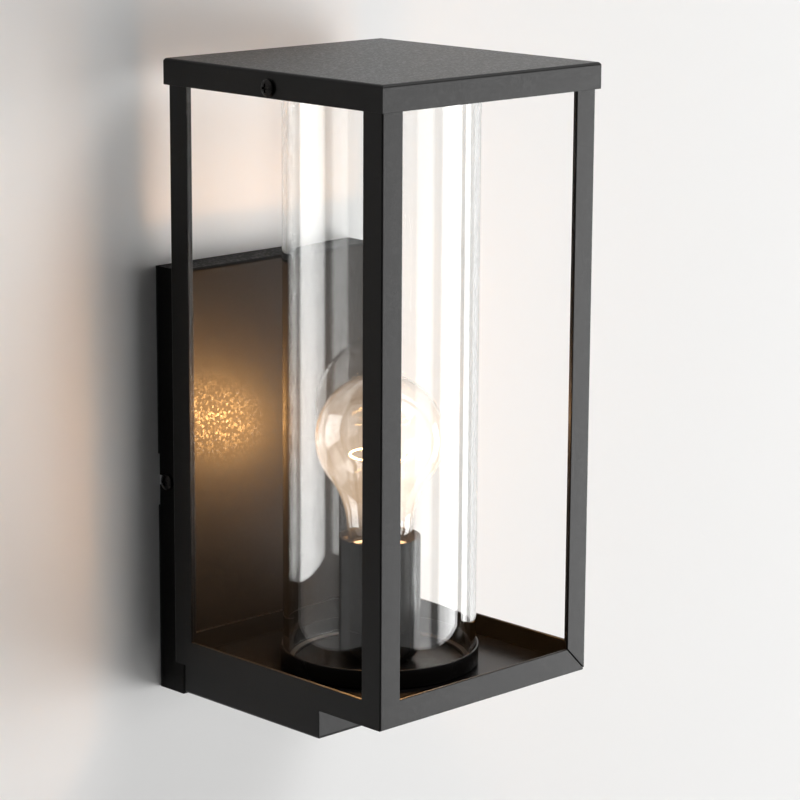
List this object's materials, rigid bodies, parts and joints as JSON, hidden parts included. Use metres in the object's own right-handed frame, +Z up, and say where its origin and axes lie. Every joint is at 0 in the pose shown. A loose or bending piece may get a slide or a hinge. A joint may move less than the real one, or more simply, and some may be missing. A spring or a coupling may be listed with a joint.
{
  "type": "outdoor_wall_lantern",
  "caption": "Wall lantern: a square cage of black steel angle on a folded arm and wall box, with a clear glass cylinder round an E27 lamp.",
  "frame": {"origin": "middle of the wall bracket's back face, on the wall plane, between its two slots", "axes": "+Z up, +Y into the wall (the lantern stands out along -Y), +X to the right seen from the room"},
  "size_m": [0.1406, 0.1587, 0.3007],
  "materials": {
    "black_coat": "fine-textured matt black powder coat",
    "black_screw": "black-oxide steel, slightly glossy",
    "zinc_steel": "bright zinc plating",
    "clear_glass": "clear, polished",
    "lamp_glass": "clear, blown",
    "brass": "plain rolled brass",
    "ceramic": "glazed steatite",
    "black_vitrite": "black vitrite",
    "black_rubber": "matt",
    "silicone": "black, matt",
    "tungsten": "drawn wire",
    "brown_insulation": "heat-resistant sleeve",
    "blue_insulation": "heat-resistant sleeve",
    "green_insulation": "heat-resistant sleeve"
  },
  "bodies": {
    "bracket": {"wall_bracket": "zinc_steel"},
    "side_screw_left": {"side_screw_left": "black_screw"},
    "side_screw_right": {"side_screw_right": "black_screw"},
    "lantern": {"front_left_post": "black_coat", "front_right_post": "black_coat", "rear_left_post": "black_coat", "rear_right_post": "black_coat", "front_bottom_rail": "black_coat", "rear_bottom_rail": "black_coat", "left_bottom_rail": "black_coat", "right_bottom_rail": "black_coat", "front_top_rail": "black_coat", "rear_top_rail": "black_coat", "left_top_rail": "black_coat", "right_top_rail": "black_coat", "tray_floor": "black_coat", "wall_box": "black_coat", "arm_box": "black_coat", "glass_dish": "black_coat", "cover_base": "black_coat", "cover_sleeve": "black_coat", "weld_studs": "zinc_steel", "stud_nuts": "zinc_steel", "terminal_screws": "zinc_steel", "holder_nipple": "zinc_steel", "nipple_nut": "zinc_steel", "terminal_barrels": "brass", "holder_shell": "brass", "holder_contact": "brass", "earth_eyelet": "brass", "holder_body": "ceramic", "terminal_block": "ceramic", "wall_gasket": "black_rubber", "cable_grommet": "black_rubber", "glass_seat": "silicone", "live_lead": "brown_insulation", "neutral_lead": "blue_insulation", "earth_lead": "green_insulation"},
    "roof": {"roof_cap": "black_coat", "roof_tabs": "zinc_steel"},
    "roof_screw_left": {"roof_screw_left": "black_screw"},
    "roof_screw_right": {"roof_screw_right": "black_screw"},
    "glass": {"glass_cylinder": "clear_glass"},
    "lamp": {"lamp_glass": "lamp_glass", "lamp_cap": "brass", "lamp_insulator": "black_vitrite", "lamp_contact": "zinc_steel", "lamp_stem": "lamp_glass", "lamp_wires": "tungsten", "lamp_filament": "tungsten"}
  },
  "joints": [
    {"name": "side_screw_left_out", "type": "slide", "parent": "bracket", "child": "side_screw_left", "axis": [-1, 0, 0], "range_m": [0, 0.003]},
    {"name": "side_screw_right_out", "type": "slide", "parent": "bracket", "child": "side_screw_right", "axis": [1, 0, 0], "range_m": [0, 0.003]},
    {"name": "lantern_off_bracket", "type": "slide", "parent": "bracket", "child": "lantern", "axis": [0, -1, 0], "range_m": [0, 0.06]},
    {"name": "roof_lift", "type": "slide", "parent": "lantern", "child": "roof", "axis": [0, 0, 1], "range_m": [0, 0.06]},
    {"name": "roof_screw_left_out", "type": "slide", "parent": "roof", "child": "roof_screw_left", "axis": [-1, 0, 0], "range_m": [0, 0.006]},
    {"name": "roof_screw_right_out", "type": "slide", "parent": "roof", "child": "roof_screw_right", "axis": [1, 0, 0], "range_m": [0, 0.006]},
    {"name": "glass_lift", "type": "slide", "parent": "lantern", "child": "glass", "axis": [0, 0, 1], "range_m": [0, 0.006]},
    {"name": "lamp_unscrew", "type": "hinge", "parent": "lantern", "child": "lamp", "pos_m": [0, -0.0875, 0], "axis": [0, 0, 1], "range_deg": [0, 1440]}
  ]
}
